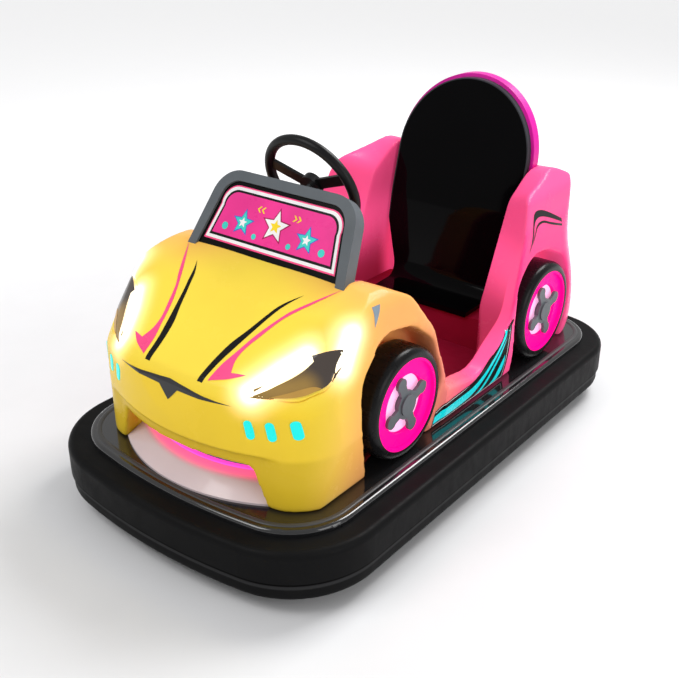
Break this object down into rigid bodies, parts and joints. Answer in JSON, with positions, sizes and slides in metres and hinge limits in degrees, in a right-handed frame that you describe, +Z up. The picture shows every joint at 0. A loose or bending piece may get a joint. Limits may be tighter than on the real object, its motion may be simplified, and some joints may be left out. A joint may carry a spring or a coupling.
{
  "type": "bumper car",
  "caption": "Two-seat fairground bumper car with a round rubber bumper, sports-car style shell, show wheels and a steered drive wheel under the deck.",
  "frame": {"origin": "on the floor, under the middle of the bumper's outline", "axes": "+Z up, the car drives towards -Y, its left side is +X"},
  "size_m": [1.15, 1.9596, 1.1579],
  "materials": {
    "bumper_rubber": "matt black moulded rubber",
    "deck_black": "gloss black",
    "frame_steel": "satin black paint",
    "front_shell": "gloss yellow that turns orange on the wings",
    "rear_shell": "gloss pink",
    "floor_crimson": "satin crimson",
    "seat_black": "gloss black",
    "seat_cover_magenta": "gloss magenta",
    "seat_base_crimson": "gloss crimson",
    "battery_case": "matt black",
    "tray_white": "gloss white",
    "light_pink": "lit diffuser",
    "mesh_blue": "matt",
    "lamp_smoke": "smoked lens",
    "trim_magenta": "gloss",
    "led_cyan": "lit diffuser",
    "tail_yellow": "gloss lens",
    "pedal_steel": "brushed",
    "screen_grey": "satin grey",
    "screen_panel": "gloss printed panel",
    "dash_black": "satin black",
    "wheel_black": "soft black grip",
    "shaft_steel": "turned",
    "running_steel": "grey paint",
    "running_tyre": "solid tyre",
    "running_hub": "as cast",
    "show_tyre": "satin black",
    "show_rim": "gloss magenta",
    "show_hub": "satin grey"
  },
  "bodies": {
    "chassis": {"bumper_upper": "bumper_rubber", "bumper_lower": "bumper_rubber", "deck": "deck_black", "chassis_frame": "frame_steel", "front_body": "front_shell", "rear_body": "rear_shell", "cockpit_floor": "floor_crimson", "seat_board": "seat_black", "seat_cover": "seat_cover_magenta", "seat_base": "seat_base_crimson", "battery_box": "battery_case", "mouth_tray": "tray_white", "mouth_light": "light_pink", "mouth_mesh": "mesh_blue", "headlamps": "lamp_smoke", "nose_trim": "trim_magenta", "led_bars": "led_cyan", "tail_lamps": "tail_yellow", "pedal": "pedal_steel", "windscreen_frame": "screen_grey", "windscreen_panel": "screen_panel", "dash": "dash_black", "rear_axle": "running_steel", "show_tyre_front_left": "show_tyre", "show_tyre_front_right": "show_tyre", "show_tyre_rear_left": "show_tyre", "show_tyre_rear_right": "show_tyre", "show_rim_front_left": "show_rim", "show_rim_front_right": "show_rim", "show_rim_rear_left": "show_rim", "show_rim_rear_right": "show_rim", "show_hub_front_left": "show_hub", "show_hub_front_right": "show_hub", "show_hub_rear_left": "show_hub", "show_hub_rear_right": "show_hub"},
    "steering": {"steering_wheel": "wheel_black", "steering_shaft": "shaft_steel"},
    "fork": {"drive_fork": "running_steel"},
    "drive_wheel": {"drive_tyre": "running_tyre", "drive_hub": "running_hub"},
    "rear_wheel_left": {"rear_tyre_left": "running_tyre", "rear_hub_left": "running_hub"},
    "rear_wheel_right": {"rear_tyre_right": "running_tyre", "rear_hub_right": "running_hub"}
  },
  "joints": [
    {"name": "steering_turn", "type": "hinge", "parent": "chassis", "child": "steering", "pos_m": [0, -0.229, 0.974], "axis": [0, 0.9272, 0.3746], "range_deg": [-120, 120]},
    {"name": "fork_turn", "type": "hinge", "parent": "chassis", "child": "fork", "pos_m": [0, -0.52, 0.19], "axis": [0, 0, 1], "range_deg": [-60, 60]},
    {"name": "drive_wheel_spin", "type": "hinge", "parent": "fork", "child": "drive_wheel", "pos_m": [0, -0.52, 0.09], "axis": [1, 0, 0], "continuous": true},
    {"name": "rear_wheel_left_spin", "type": "hinge", "parent": "chassis", "child": "rear_wheel_left", "pos_m": [0.365, 0.56, 0.075], "axis": [1, 0, 0], "continuous": true},
    {"name": "rear_wheel_right_spin", "type": "hinge", "parent": "chassis", "child": "rear_wheel_right", "pos_m": [-0.365, 0.56, 0.075], "axis": [1, 0, 0], "continuous": true}
  ],
  "couplings": [
    {"joint": "fork_turn", "follows": "steering_turn", "ratio": 0.5}
  ]
}
